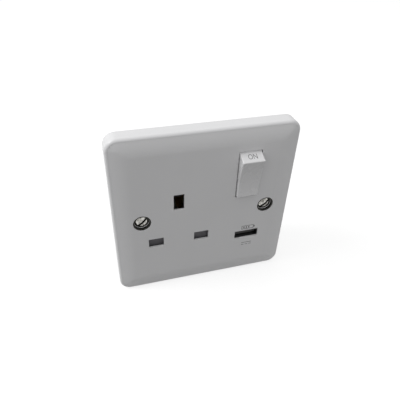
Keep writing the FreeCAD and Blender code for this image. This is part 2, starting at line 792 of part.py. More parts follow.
def make_cradle():
    cradle = Piece("lever_cradle")
    trough = lever_bump_radius + cradle_clearance
    ear_inner = lever_width / 2 + cradle_ear_gap
    ear_outer = ear_inner + cradle_ear
    front = lever_pivot_y + cradle_step
    cradle.pad("side", rocker_x - ear_outer, rocker_x + ear_outer,
               box(front, cradle_back, rocker_z - cradle_half, rocker_z + cradle_half))
    cradle.pocket("side", rocker_x - ear_inner, rocker_x + ear_inner,
                  disc(lever_pivot_y, rocker_z, trough))
    for side in (-1, 1):
        one, two = rocker_x + side * ear_inner, rocker_x + side * ear_outer
        left, right = (one, two) if side > 0 else (two, one)
        cradle.pad("side", left, right, box(lever_pivot_y - trough, front,
                                            rocker_z - cradle_half / 2, rocker_z + cradle_half / 2))
    low, high = rocker_z - cradle_half, rocker_z - cradle_half + strip_width
    left = terminal_x(1) - terminal_width / 4
    cradle.pad("front", cradle_back, cradle_back + strip_thickness, outline([
        (left, low), (rocker_x + ear_outer, low), (rocker_x + ear_outer, high),
        (left + strip_width, high), (left + strip_width, terminal_low()), (left, terminal_low()),
    ]))
    return cradle


def make_fixed_contact():
    """A strip from the live pin contact, up beside the switch and over behind the lever's tip."""
    strip = Piece("fixed_contact")
    left = live_x - leaf_width / 3
    right = live_x + leaf_width / 3
    foot = pin_z - strip_width / 2
    cross = pin_z + leaf_root + 2 * strip_width
    rise = rocker_x - window_half - cheek_wall - strip_width / 3
    level = fixed_tip_z() - strip_width / 2
    strip.pad("front", fixed_strip_y(), fixed_strip_y() + strip_thickness, outline([
        (left, foot), (right, foot), (right, cross), (rise, cross), (rise, level),
        (rocker_x + lever_width / 2, level), (rocker_x + lever_width / 2, level + strip_width),
        (rise - strip_width, level + strip_width), (rise - strip_width, cross + strip_width),
        (left, cross + strip_width),
    ]))
    return strip


# Pin contacts: a folded leaf on each side of the pin, pinched in the middle and flared at the mouth

def leaf_section(x, start, base, across):
    """The folded section about x, for leaves that face each other across the sketch's y or x."""
    back = base + strip_thickness
    root = leaf_root + leaf_thickness
    half = [
        (start, leaf_mouth), (leaf_pinch_y, leaf_pinch), (base, leaf_root),
    ]
    outer = [
        (back, root), (base - strip_thickness, root), (leaf_pinch_y, leaf_pinch + leaf_thickness),
        (start, leaf_mouth + leaf_thickness),
    ]
    run = outer + half
    mirror = [(along, -out) for along, out in reversed(run)]
    points = [(along, x + out) for along, out in run + mirror]
    return outline([(out, along) for along, out in points] if across == "x" else points)


def make_pin_contact(label, x):
    contact = Piece(label)
    contact.pad("side", x - leaf_width / 2, x + leaf_width / 2,
                leaf_section(pin_z, leaf_start, contact_base_y, "z"))
    return contact


def make_neutral_contact():
    """The neutral leaves with their strip, bent past the fixing screw and up to the terminal."""
    contact = make_pin_contact("neutral_contact", neutral_x)
    left = terminal_x(-1) + terminal_width / 2 - strip_width
    contact.pad("front", contact_base_y, contact_base_y + strip_thickness, outline([
        (neutral_x + leaf_width / 2, pin_z - leaf_root), (left + strip_width, pin_z - leaf_root),
        (left + strip_width, terminal_low()), (left, terminal_low()), (left, pin_z + leaf_root),
        (neutral_x + leaf_width / 2 - strip_width, pin_z + leaf_root),
        (neutral_x + leaf_width / 2 - strip_width, pin_z - leaf_root),
    ]))
    return contact


def make_earth_contact():
    contact = Piece("earth_contact")
    contact.pad("top", earth_z - earth_leaf_drop, earth_z + leaf_width / 2,
                leaf_section(socket_x, earth_leaf_start, earth_base_y, "x"))
    contact.pad("front", earth_base_y, earth_base_y + strip_thickness,
                box(socket_x - strip_width / 2, socket_x + strip_width / 2,
                    earth_z, terminal_low()))
    return contact


# Terminals: a brass block with a hole for the conductor from above and a clamp screw from the rear

def terminal_x(place):
    return socket_x + terminal_shift + place * terminal_pitch


def terminal_top():
    return base_half_height - base_wall - guide_gap


def terminal_low():
    return terminal_top() - terminal_height


def wire_y():
    return (terminal_front + floor_y) / 2


def make_terminal(label, place):
    block = Piece(label)
    x = terminal_x(place)
    block.pad("front", terminal_front, floor_y,
              box(x - terminal_width / 2, x + terminal_width / 2, terminal_low(), terminal_top()))
    block.pocket("top", terminal_top() - wire_hole_depth, terminal_top(),
                 disc(x, wire_y(), wire_hole_radius))
    block.pocket("front", wire_y(), floor_y, disc(x, clamp_z(), clamp_radius + clamp_clearance))
    return block


def clamp_z():
    return (terminal_low() + terminal_top()) / 2


def make_clamp_screw(label, place):
    """A pan-headed screw backed out of the conductor's hole, its slot across its head."""
    screw = Piece(label)
    seat = floor_y + base_floor + clamp_back_off
    shank = seat - wire_y() - wire_hole_radius - clamp_tip_gap
    screw.turn("Revolution", "top", outline([
        (0, -shank), (clamp_radius, -shank), (clamp_radius, 0), (clamp_head_radius, 0),
        (clamp_head_radius, clamp_head_height), (0, clamp_head_height),
    ]))
    screw.pocket("top", -clamp_head_radius, clamp_head_radius,
                 box(-slot_width / 2, slot_width / 2, clamp_head_height - slot_depth / 2,
                     clamp_head_height))
    return screw.place(terminal_x(place), seat, clamp_z())


# Rear base moulding: an open box with a notch for each fixing screw, and seats for what it holds

def base_outline(inset):
    """The box seen from behind, with a round notch on each side; inset gives its inner wall."""
    wide, tall = base_half_width - inset, base_half_height - inset
    notch = base_notch + inset
    corners = [
        (-wide, -tall), (wide, -tall), (wide, -notch), (fixing_x, -notch),
        (fixing_x - notch, 0), (fixing_x, notch), (wide, notch), (wide, tall),
        (-wide, tall), (-wide, notch), (-fixing_x, notch),
        (notch - fixing_x, 0), (-fixing_x, -notch), (-wide, -notch),
    ]
    return outline(corners, {index: notch for index in (3, 4, 10, 11)})


def make_base():
    base = Piece("base_moulding")
    none = as_size(0)
    base.pad("front", -base_front, base_back, base_outline(none))
    wide, tall = base_half_width.value, base_half_height.value

    def is_corner(b):
        outer = near(abs(b.XMin), wide) and near(abs(b.ZMin), tall)
        return outer and near(b.XMin, b.XMax) and near(b.ZMin, b.ZMax)

    base.round_edges(base_corner, is_corner)
    base.pocket("front", -base_front, floor_y, base_outline(base_wall))
    add_columns(base)
    add_pillars(base)
    cut_top_wall(base)
    base.pocket("front", floor_y, base_back,
                *[disc(terminal_x(place), clamp_z(), clamp_head_radius + wire_entry_margin)
                  for place in (-1, 0, 1)])
    return base


def cut_top_wall(base):
    """One long opening lets the wires into the terminals, and a notch clears the rocker's end."""
    reach = wire_hole_radius + wire_entry_margin
    skirt_end = rocker_skirt * cosine(rocker_tilt) + rocker_skirt_half * sine(rocker_tilt)
    base.pocket("top", base_half_height - base_wall, base_half_height,
                box(terminal_x(-1) - reach, terminal_x(1) + reach, wire_y() - reach, wire_y() + reach),
                box(rocker_x - window_half, rocker_x + window_half, -base_front,
                    pivot_y + skirt_end + rocker_end_gap))


def housing_spots():
    """One screw in each of two opposite corners: upper left and lower right."""
    return [(-side * housing_x, side * housing_z) for side in (1, -1)]


def housing_head_y():
    return housing_boss_end + housing_grip


def add_columns(base):
    """A post in the corner for each screw, bored through, with a deep seat for its head."""
    for side in (1, -1):
        inner_x, wall_x = -side * (housing_x - post_half), -side * (base_half_width - base_wall / 2)
        inner_z, wall_z = side * (housing_z - post_half), side * (base_half_height - base_wall / 2)
        left, right = (wall_x, inner_x) if side > 0 else (inner_x, wall_x)
        low, high = (inner_z, wall_z) if side > 0 else (wall_z, inner_z)
        base.pad("front", housing_boss_end + seat_gap, floor_y + base_floor / 2,
                 box(left, right, low, high))
    base.pocket("front", housing_boss_end + seat_gap, base_back,
                *[disc(x, z, housing_shank_radius + housing_clearance) for x, z in housing_spots()])
    base.pocket("front", housing_head_y(), base_back,
                *[disc(x, z, housing_head_radius + housing_clearance) for x, z in housing_spots()])


def add_pillars(base):
    """Pillars from the floor carry the contacts, the cradle and the fixed contact's end."""
    root = floor_y + base_floor / 2
    foot = leaf_width / 3
    contact_back = contact_base_y + strip_thickness + pillar_gap
    base.pad("front", contact_back, root, centred_box(neutral_x, pin_z, 2 * foot, 2 * leaf_pinch))
    base.pad("front", contact_back + strip_thickness, root,
             centred_box(live_x, pin_z, 2 * foot, 2 * leaf_pinch),
             centred_box(rocker_x, fixed_tip_z(), lever_width, 2 * tip_radius))
    base.pad("front", earth_base_y + strip_thickness + pillar_gap, root,
             centred_box(socket_x, earth_z, 2 * leaf_pinch, 2 * foot))
    base.pad("front", cradle_back + strip_thickness + pillar_gap, root,
             centred_box(rocker_x, rocker_z, lever_width, 2 * cradle_half))
    wall_x = rocker_x - window_half - cheek_wall - strip_width / 3 - 2 * strip_width
    low = -base_half_height + base_wall / 2
    base.pad("front", leaf_pinch_y, root, box(wall_x, wall_x + base_wall / 2, low, pin_z + leaf_root))
    rib = base_wall / 2
    for x in (board_left + rib_inset, board_right - rib_inset - rib):
        base.pad("front", board_front, root, box(x, x + rib, low, board_bottom - pillar_gap))


def make_housing_screw(index, x, z):
    screw = Piece(f"housing_screw_{index}")
    screw.turn("Revolution", "top", outline([
        (0, -housing_length), (housing_shank_radius, -housing_length), (housing_shank_radius, 0),
        (housing_head_radius, 0), (housing_head_radius, housing_head_height),
        (0, housing_head_height),
    ]))
    screw.pocket("top", -housing_head_radius, housing_head_radius,
                 box(-slot_width / 2, slot_width / 2, housing_head_height - slot_depth / 2,
                     housing_head_height))
    return screw.place(x, housing_head_y(), z)


def make_fixing_screw(label, side):
    """A raised countersunk screw: domed slotted head, cone, neck and thread."""
    screw = Piece(label)
    rim = recess_floor + seat_gap
    neck_start = fixing_head_rim + fixing_head_radius - fixing_neck_radius
    thread = -fixing_thread_start - rim
    tip = fixing_tip_y - rim
    dome = (fixing_head_radius * fixing_head_radius + fixing_head_dome * fixing_head_dome) / (
        2 * fixing_head_dome)
    screw.turn("Revolution", "top", outline([
        (0, -fixing_head_dome), (fixing_head_radius, 0), (fixing_head_radius, fixing_head_rim),
        (fixing_neck_radius, neck_start), (fixing_neck_radius, thread),
        (fixing_thread_radius, thread), (fixing_thread_radius, tip), (0, tip),
    ], {0: -dome}))
    screw.pocket("top", -fixing_head_radius, fixing_head_radius,
                 box(-slot_width / 2, slot_width / 2, -fixing_head_dome, slot_depth - fixing_head_dome))
    return screw.place(side * fixing_x, rim, 0, Vector(0, 1, 0), fixing_slot_turn)


def make_eyelet(label, side):
    """A steel ring that lines the recess, so that the screw's head doesn't bear on its wall."""
    eyelet = Piece(label)
    x = side * fixing_x
    eyelet.pad("front", face_y + eyelet_set_in, recess_floor - seat_gap,
               disc(x, 0, recess_radius - seat_gap), disc(x, 0, eyelet_bore))
    return eyelet


# USB module: receptacle, circuit board and the parts of the charger on it

def make_usb_shell():
    shell = Piece("usb_shell")
    end = usb_front + usb_shell_length
    shell.pad("front", usb_front, end,
              rounded_box(usb_x, usb_z, usb_shell_width, usb_shell_height, 2 * usb_sheet))
    shell.pocket("front", usb_front, end - usb_sheet, rounded_box(
        usb_x, usb_z, usb_shell_width - 2 * usb_sheet, usb_shell_height - 2 * usb_sheet, usb_sheet))
    return shell


def tongue_top():
    return usb_z - tongue_drop


def make_usb_tongue():
    tongue = Piece("usb_tongue")
    start = usb_front + tongue_set_back
    end = usb_front + usb_shell_length - usb_sheet - pillar_gap
    tongue.pad("front", start, end, box(usb_x - tongue_width / 2, usb_x + tongue_width / 2,
                                        tongue_top() - tongue_thickness, tongue_top()))
    inner_width = usb_shell_width - 2 * usb_sheet - usb_gap
    inner_height = usb_shell_height - 2 * usb_sheet - usb_gap
    tongue.pad("front", end - tongue_block, end,
               rounded_box(usb_x, usb_z, inner_width, inner_height, usb_sheet))
    return tongue


def make_usb_pin(index, offset):
    pin = Piece(f"usb_pin_{index}")
    start = usb_front + tongue_set_back + usb_sheet
    end = usb_front + usb_shell_length - usb_sheet - pillar_gap - tongue_block
    pin.pad("front", start, end, box(
        usb_x + offset - usb_pin_width / 2, usb_x + offset + usb_pin_width / 2,
        tongue_top(), tongue_top() + usb_pin_thickness))
    return pin


def make_board():
    board = Piece("usb_board")
    board.pad("top", board_bottom, board_top, box(board_left, board_right, -board_front, board_back))
    return board


def core_middle():
    return board_top + pillar_gap + core_height / 2


def make_core():
    core = Piece("transformer_core")
    middle = core_middle()
    core.pad("front", core_front, core_front + core_depth,
             centred_box(usb_x, middle, 2 * core_half_width, core_height))
    window_high = core_height - 2 * core_leg
    window_wide = core_half_width - core_leg - core_leg / 2
    for side in (-1, 1):
        x = usb_x + side * (core_leg / 2 + window_wide / 2)
        core.pocket("front", core_front, core_front + core_depth,
                    centred_box(x, middle, window_wide, window_high))
    return core


def make_winding():
    winding = Piece("transformer_winding")
    middle = core_middle()
    outer = 2 * core_half_width - 2 * core_leg - 4 * usb_gap
    deep = core_depth + 2 * winding_reach
    y = core_front + core_depth / 2
    half = core_height / 2 - core_leg - usb_gap
    winding.pad("top", middle - half, middle + half,
                rounded_box(usb_x, y, outer, deep, winding_reach))
    winding.pocket("top", middle - half, middle + half,
                   centred_box(usb_x, y, core_leg + 2 * usb_gap, core_depth + 2 * usb_gap))
    return winding


def make_capacitor(index):
    can = Piece(f"capacitor_{index}")
    y = board_front + capacitor_radius + index * capacitor_pitch - capacitor_pitch / 2
    z = board_bottom - capacitor_radius - capacitor_gap
    middle = (board_left + board_right) / 2
    can.pad("side", middle - capacitor_length / 2, middle + capacitor_length / 2,
            disc(y, z, capacitor_radius))
    return can


def make_chip():
    chip = Piece("controller_chip")
    middle = (board_left + board_right) / 2
    back = board_back - usb_gap
    chip.pad("top", board_bottom - chip_height, board_bottom,
             box(middle - chip_length / 2, middle + chip_length / 2, back - chip_width, back))
    return chip


def make_fuse():
    fuse = Piece("fuse_resistor")
    x = board_left + fuse_radius + capacitor_gap
    start = as_size(0)
    fuse.pad("front", start, start + fuse_length,
             disc(x, board_top + fuse_radius + capacitor_gap, fuse_radius))
    return fuse


# Build every sub-part

pieces = [make_front_plate(), make_shutter(), make_shutter_spring(), make_shutter_retainer()]
pieces += [make_rocker(), make_plunger(), make_rocker_spring()]
pieces += [make_lever(), make_lever_tip(), make_cradle(), make_fixed_contact(), make_fixed_tip()]
pieces += [make_pin_contact("live_contact", live_x), make_neutral_contact(), make_earth_contact()]
for place, name in ((-1, "neutral"), (0, "earth"), (1, "live")):
    pieces += [make_terminal(f"{name}_terminal", place)]
    pieces += [make_clamp_screw(f"{name}_terminal_screw", place)]
pieces += [make_base()]
pieces += [make_housing_screw(number + 1, x, z) for number, (x, z) in enumerate(housing_spots())]
pieces += [make_fixing_screw("fixing_screw_left", -1), make_fixing_screw("fixing_screw_right", 1)]
pieces += [make_eyelet("fixing_eyelet_left", -1), make_eyelet("fixing_eyelet_right", 1)]
pieces += [make_usb_shell(), make_usb_tongue()]
outer_pin = usb_pin_pitch_inner / 2 + usb_pin_pitch_outer
pin_offsets = [-outer_pin, -usb_pin_pitch_inner / 2, usb_pin_pitch_inner / 2, outer_pin]
pieces += [make_usb_pin(number + 1, offset) for number, offset in enumerate(pin_offsets)]
pieces += [make_board(), make_core(), make_winding(), make_capacitor(1), make_capacitor(2)]
pieces += [make_chip(), make_fuse()]

doc.recompute()

# Check everything before anything is written

for item in doc.Objects:
    if "Invalid" in item.State or "Error" in item.State:
        raise RuntimeError(f"{item.Label} failed: {item.State}")
for piece in pieces:
    shape = piece.body.Shape
    if shape.isNull() or not shape.isValid():
        raise RuntimeError(f"{piece.label} has no valid shape")
    if len(shape.Solids) != 1:
        raise RuntimeError(f"{piece.label} has {len(shape.Solids)} solids")

os.makedirs("parts", exist_ok=True)
for piece in pieces:
    piece.body.Shape.exportStep(os.path.join("parts", f"{piece.label}.step"))
    bounds = piece.body.Shape.BoundBox
    print(f"{piece.label:22s} x {bounds.XMin:7.2f} {bounds.XMax:7.2f}  y {bounds.YMin:7.2f}"
          f" {bounds.YMax:7.2f}  z {bounds.ZMin:7.2f} {bounds.ZMax:7.2f}"
          f"  {piece.body.Shape.Volume:9.2f} mm3")
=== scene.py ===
import math

import bmesh
import bpy
from mathutils import Matrix, Vector


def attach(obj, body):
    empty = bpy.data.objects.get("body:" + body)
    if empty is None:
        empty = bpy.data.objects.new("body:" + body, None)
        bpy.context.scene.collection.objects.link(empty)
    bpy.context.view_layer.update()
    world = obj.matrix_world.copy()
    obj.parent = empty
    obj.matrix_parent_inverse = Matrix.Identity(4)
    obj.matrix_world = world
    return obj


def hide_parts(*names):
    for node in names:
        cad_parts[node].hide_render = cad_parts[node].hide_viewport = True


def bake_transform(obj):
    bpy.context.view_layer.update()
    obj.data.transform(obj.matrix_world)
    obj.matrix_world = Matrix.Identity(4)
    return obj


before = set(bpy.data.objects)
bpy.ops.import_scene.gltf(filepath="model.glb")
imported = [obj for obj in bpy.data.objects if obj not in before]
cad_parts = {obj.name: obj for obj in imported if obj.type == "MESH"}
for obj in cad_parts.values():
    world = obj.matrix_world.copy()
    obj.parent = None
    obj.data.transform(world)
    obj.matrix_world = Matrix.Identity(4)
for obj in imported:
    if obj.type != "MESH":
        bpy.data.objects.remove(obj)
# The cube, lamp and camera that a new file starts with are removed.
for name in ("Cube", "Light", "Camera"):
    if name in bpy.data.objects:
        bpy.data.objects.remove(bpy.data.objects[name])
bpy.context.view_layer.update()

# Front plate
# The real one is urea compound, pressed hot in a polished steel mould: hard and white, faintly
# crowned towards its edges, each aperture's rim a little rounded. Two screws and the rear
# moulding hold on to its back.

MM = 0.001
PLATE_HALF = 43 * MM
PLATE_FACE = -8.7 * MM
PLATE_CORNER = 5.5 * MM
CROWN_FALL = 1.4 * MM
CROWN_WIDTH = 9 * MM
CROWN_POWER = 1.7
LIP_ROUND = 1.5 * MM
SLOPE_END = 6 * MM
# Extra edges let the face bend: so many mm in from each side, and one ring down the flanks.
CROWN_CUTS = (2.2, 3.0, 3.8, 4.6, 5.3, 6.8, 7.8, 9.0)
FLANK_CUT = 2.9 * MM
RIM_ROUND = 0.12 * MM
RIM_CLEAR = 3 * MM
# What counts as on the face, as a wall, as one point, as one cut and as one flat.
NEAR_FACE = 0.02 * MM
WALL_LEAN = 0.2
SAME_POINT = 0.0001 * MM
CUT_POINT = 0.001 * MM
FLAT_TURN = 0.003
# Nearly all of a noise lies between these two, so they map to the limits of a gloss.
NOISE_LOW, NOISE_HIGH = 0.3, 0.7
GLOSS_PATCH = 5
PLASTIC_IOR = 1.5
# A colour mix node's sockets, which have no names of their own: share, two colours, result.
SHARE, PALE, DEEP, MIXED = 0, 6, 7, 2


def linear(colour):
    """An sRGB hex colour as the linear values that a shader takes."""
    parts = [int(colour[i:i + 2], 16) / 255 for i in (1, 3, 5)]
    return [c / 12.92 if c <= 0.04045 else ((c + 0.055) / 1.055) ** 2.4 for c in parts] + [1]


def add(tree, kind, inputs=None, **settings):
    """One node with its settings; an input takes a value, another node or one of its outputs."""
    node = tree.nodes.new(kind)
    for key, value in settings.items():
        setattr(node, key, value)
    for key, value in (inputs or {}).items():
        if isinstance(value, bpy.types.Node):
            value = value.outputs[0]
        if isinstance(value, bpy.types.NodeSocket):
            tree.links.new(value, node.inputs[key])
        else:
            node.inputs[key].default_value = value
    return node


def start_material(name):
    material = bpy.data.materials.new(name)
    material.use_nodes = True
    material.node_tree.nodes.clear()
    return material, material.node_tree


def moulded_plastic(name, pale, deep, gloss, grain=0.6, relief=0.003, cloud=14):
    """Clouds of colour, a patchy gloss and the mould's fine skin, each of its real size in mm."""
    material, tree = start_material(name)
    where = add(tree, "ShaderNodeTexCoord").outputs["Object"]
    clouds = add(tree, "ShaderNodeTexNoise", {"Vector": where, "Scale": 1 / (cloud * MM)})
    tint = add(tree, "ShaderNodeMix", {SHARE: clouds, PALE: linear(pale), DEEP: linear(deep)},
               data_type="RGBA")
    patches = add(tree, "ShaderNodeTexNoise", {
        "Vector": where, "Scale": 1 / (GLOSS_PATCH * MM), "Detail": 4.0})
    rough = add(tree, "ShaderNodeMapRange", {
        "Value": patches, "From Min": NOISE_LOW, "From Max": NOISE_HIGH,
        "To Min": gloss[0], "To Max": gloss[1]})
    skin = add(tree, "ShaderNodeTexNoise", {"Vector": where, "Scale": 1 / (grain * MM), "Detail": 3.0})
    bump = add(tree, "ShaderNodeBump", {"Height": skin, "Distance": relief * MM, "Strength": 1.0})
    surface = add(tree, "ShaderNodeBsdfPrincipled", {
        "Base Color": tint.outputs[MIXED], "Roughness": rough, "Normal": bump,
        "IOR": PLASTIC_IOR})
    add(tree, "ShaderNodeOutputMaterial", {"Surface": surface})
    return material


def merged_copy(node, name):
    """A CAD node's mesh with its doubles merged and its flat faces whole."""
    form = bmesh.new()
    form.from_mesh(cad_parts[node].data)
    bmesh.ops.remove_doubles(form, verts=form.verts, dist=SAME_POINT)
    bmesh.ops.dissolve_limit(form, angle_limit=FLAT_TURN, verts=form.verts, edges=form.edges)
    mesh = bpy.data.meshes.new(name)
    form.to_mesh(mesh)
    form.free()
    for layer in ("custom_normal", "sharp_edge", "sharp_face"):
        if layer in mesh.attributes:
            mesh.attributes.remove(mesh.attributes[layer])
    return mesh


def put(name, mesh, place=Matrix()):
    """An object at the origin, with its place in its mesh."""
    mesh.transform(place)
    mesh.name = name
    piece = bpy.data.objects.new(name, mesh)
    bpy.context.scene.collection.objects.link(piece)
    return piece


def shade(piece, degrees=30, even=False):
    """Smooth faces with sharp edges past an angle; even keeps the large flat faces flat."""
    mesh = piece.data
    mesh.polygons.foreach_set("use_smooth", [True] * len(mesh.polygons))
    mesh.set_sharp_from_angle(angle=math.radians(degrees))
    if even:
        piece.modifiers.new("even", "WEIGHTED_NORMAL").keep_sharp = True


def paint(piece, material):
    piece.data.materials.clear()
    piece.data.materials.append(material)


def edge_distance(x, z):
    """How far a point of the face lies inside the plate's rounded outline."""
    inner = PLATE_HALF - PLATE_CORNER
    over_x, over_z = abs(x) - inner, abs(z) - inner
    if over_x > 0 and over_z > 0:
        return PLATE_CORNER - math.hypot(over_x, over_z)
    return PLATE_CORNER - max(over_x, over_z)


# Pressed urea: a hard white with a soft sheen, so that lamps show as pale broad patches.
urea_white = moulded_plastic("urea_white_pressed", "#D9D9DA", "#D5D5D6", (0.30, 0.40))

form = bmesh.new()
form.from_mesh(merged_copy("front_plate", "plate"))
cuts = [(axis * side * (PLATE_HALF - cut * MM), axis) for cut in CROWN_CUTS
        for axis in (Vector((1, 0, 0)), Vector((0, 0, 1))) for side in (-1, 1)]
cuts.append((Vector((0, PLATE_FACE + FLANK_CUT, 0)), Vector((0, 1, 0))))
for spot, axis in cuts:
    bmesh.ops.bisect_plane(form, geom=form.verts[:] + form.edges[:] + form.faces[:],
                           plane_co=spot, plane_no=axis, dist=CUT_POINT)
rims = []
for edge in form.edges:
    faces = edge.link_faces
    if len(faces) == 2 and all(v.co.y < PLATE_FACE + NEAR_FACE for v in edge.verts):
        steep = min(abs(f.normal.y) for f in faces) < WALL_LEAN
        if steep and edge_distance(*edge.verts[0].co.xz) > RIM_CLEAR:
            rims.append(edge)
bmesh.ops.bevel(form, geom=rims, offset=RIM_ROUND, segments=2, profile=0.5, affect="EDGES",
                clamp_overlap=True)
for vert in form.verts:
    # The solid's face falls in flat slopes; here it follows one curve round the whole border.
    inside = max(edge_distance(vert.co.x, vert.co.z), 0)
    square = PLATE_HALF - max(abs(vert.co.x), abs(vert.co.z))
    slope = min(max((SLOPE_END - square) / (SLOPE_END - LIP_ROUND), 0), 1)
    front = PLATE_FACE + CROWN_FALL * slope
    if inside > LIP_ROUND - NEAR_FACE / 2 and vert.co.y < front + NEAR_FACE:
        share = 1 - (inside - LIP_ROUND) / (CROWN_WIDTH - LIP_ROUND)
        vert.co.y += CROWN_FALL * (max(share, 0) ** CROWN_POWER - slope)
plate_mesh = bpy.data.meshes.new("plate_moulding")
form.to_mesh(plate_mesh)
form.free()
plate = put("plate_moulding", plate_mesh)
shade(plate, even=True)
paint(plate, urea_white)
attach(plate, "root")
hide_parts("front_plate")

# Marks by the charging port
# Printed in grey ink from a soft pad: a plain battery above the port, and below it the usual
# sign for direct current, a line over three dashes.

INK_THICKNESS = 0.02 * MM
INK_LINE = 0.32
# Each mark's centre, width and height, in millimetres.
BATTERY = (22.4, -12.9, 6.4, 2.3)
DIRECT_CURRENT = (22.7, -23.9, 5.4, 1.3)

# Pad ink: a flat grey that lies on the gloss and looks duller than it.
ink = moulded_plastic("grey_pad_ink", "#6C6C6D", "#7A7A7B", (0.55, 0.65), 0.3, 0.001, 0.5)


def printed_strips(name, strips, material):
    """Thin inked bars on the plate's face; a strip is its centre, width and height in mm."""
    bars = bmesh.new()
    for x, z, width, height in strips:
        size = Matrix.Diagonal((width * MM, INK_THICKNESS, height * MM, 1))
        spot = Matrix.Translation((x * MM, PLATE_FACE, z * MM))
        bmesh.ops.create_cube(bars, size=1, matrix=spot @ size)
    mesh = bpy.data.meshes.new(name)
    bars.to_mesh(mesh)
    bars.free()
    piece = put(name, mesh)
    paint(piece, material)
    return piece


# A frame, the stub at its right end, and three cells inside it.
x, z, width, height = BATTERY
bar, inner = 2 * INK_LINE, height - 2 * INK_LINE
battery = [(x, z + side * (height - INK_LINE) / 2, width, INK_LINE) for side in (-1, 1)]
battery += [(x + side * (width - INK_LINE) / 2, z, INK_LINE, inner) for side in (-1, 1)]
battery += [(x + (width + bar) / 2, z, bar, height / 2)]
battery += [(x + step * width / 5, z, bar, height / 2) for step in (-1.5, -0.5, 0.5)]
# A line, and three dashes a quarter as long.
x, z, width, height = DIRECT_CURRENT
current = [(x, z + height / 2, width, INK_LINE)]
current += [(x + step * 3 * width / 8, z - height / 2, width / 4, INK_LINE) for step in (-1, 0, 1)]
for name, strips in (("battery_mark", battery), ("direct_current_mark", current)):
    mark = printed_strips(name, strips, ink)
    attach(mark, "root")

# Rocker
# The switch's dolly, pressed from the same white compound and polished by the fingers that
# use it. Its word is printed on the face that stands proud when it is on, and it swings on
# two stub trunnions that snap into the plate's cheeks.

ROCKER_PIVOT = Vector((19.55, -4.4, 19.25)) * MM
ROCKER_TILT = math.radians(9)
WORD_LOW = Vector((0, -7.6, 10.5)) * MM
WORD_HIGH = Vector((0, -2.4, 11.85)) * MM
WORD_HEIGHT = 2.7 * MM
WORD_NARROW = 0.74
WORD_CREEP = 0.35 * MM
INK_BURIED = INK_THICKNESS / 4
CAPITAL_SHARE = 0.7
LETTER_STEPS = 4


def lettering(text, height, thickness, material):
    """Capitals as a flat mesh, centred, reading along X with their tops towards Z."""
    curve = bpy.data.curves.new("lettering", "FONT")
    curve.body = text
    curve.size = height / CAPITAL_SHARE
    curve.align_x = "CENTER"
    curve.align_y = "CENTER"
    curve.extrude = thickness / 2
    curve.resolution_u = LETTER_STEPS
    holder = bpy.data.objects.new("lettering", curve)
    bpy.context.scene.collection.objects.link(holder)
    bpy.context.view_layer.update()
    mesh = bpy.data.meshes.new_from_object(holder.evaluated_get(bpy.context.evaluated_depsgraph_get()))
    bpy.data.objects.remove(holder)
    mesh.transform(Matrix.Rotation(math.radians(90), 4, "X"))
    mesh.materials.clear()
    mesh.materials.append(material)
    return mesh


def dress(material, *nodes):
    """Give CAD nodes, whose shapes stay, their finish."""
    for node in nodes:
        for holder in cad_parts[node].material_slots:
            holder.material = material


# Polished urea: the same white, handled smooth, so its edges catch sharper lights.
urea_rocker = moulded_plastic("urea_rocker_polished", "#DBDBDC", "#D8D8D9", (0.24, 0.32))
dress(urea_rocker, "switch_rocker")

rise = (WORD_HIGH - WORD_LOW).normalized()
away = Vector((0, -rise.z, rise.y))
seat = (WORD_LOW + WORD_HIGH) / 2 + rise * WORD_CREEP + away * (INK_THICKNESS / 2 - INK_BURIED)
axes = Matrix((Vector((WORD_NARROW, 0, 0)), -away, rise)).transposed().to_4x4()
place = (Matrix.Translation(ROCKER_PIVOT) @ Matrix.Rotation(ROCKER_TILT, 4, "X")
         @ Matrix.Translation(seat) @ axes)
word = put("rocker_word", lettering("ON", WORD_HEIGHT, INK_THICKNESS, ink), place)
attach(word, "rocker")

# Screws
# Turned steel, zinc plated: two raised countersunk screws hold the plate to its wall box, two
# pan-headed ones hold the rear moulding, and three back out of the terminals to take the wires.

MATH = "ShaderNodeMath"
AROUND = 40
# The ring past this share of the way is the tip, which closes on the axis.
LAST_RING = 0.9999
SEAM_WELD = 0.002 * MM
# The slot's cutter is so many times the head's radius long and the slot's depth deep.
CUTTER_LENGTH, CUTTER_DEPTH = 2.4, 2.0
RING_STEP, RING_RELIEF = 0.22 * MM, 0.0012 * MM
PLATING_CLOUD = 1.2 * MM
MOTTLE_FROM, MOTTLE_TO = 0.4, 0.6
# The painted shade in the slot fades out at the slot's sides, and below the head.
SLOT_SHADE_EDGE = (0.46 * MM, 0.56 * MM)
SLOT_SHADE_DEPTH = (1.1 * MM, 1.3 * MM)
# Sizes in mm, but Taper is how far the head runs down for each mm that it narrows.
FIXING = {"Head Radius": 3.3, "Dome": 1.0, "Rim": 0.2, "Taper": 1.0, "Core": 1.42, "Thread": 0.33,
          "Pitch": 0.7, "Length": 31.15, "Slot Width": 1.0, "Slot Depth": 1.1}
HOUSING = {"Head Radius": 2.6, "Dome": 0.45, "Rim": 1.15, "Taper": 0.02, "Core": 1.1, "Thread": 0.25,
           "Pitch": 1.0, "Length": 12.15, "Slot Width": 0.9, "Slot Depth": 0.95}
CLAMP = {"Head Radius": 2.6, "Dome": 0.45, "Rim": 1.35, "Taper": 0.02, "Core": 1.45, "Thread": 0.25,
         "Pitch": 0.7, "Length": 5.55, "Slot Width": 1.0, "Slot Depth": 1.0}
FORWARD, BACKWARD = 0, math.pi
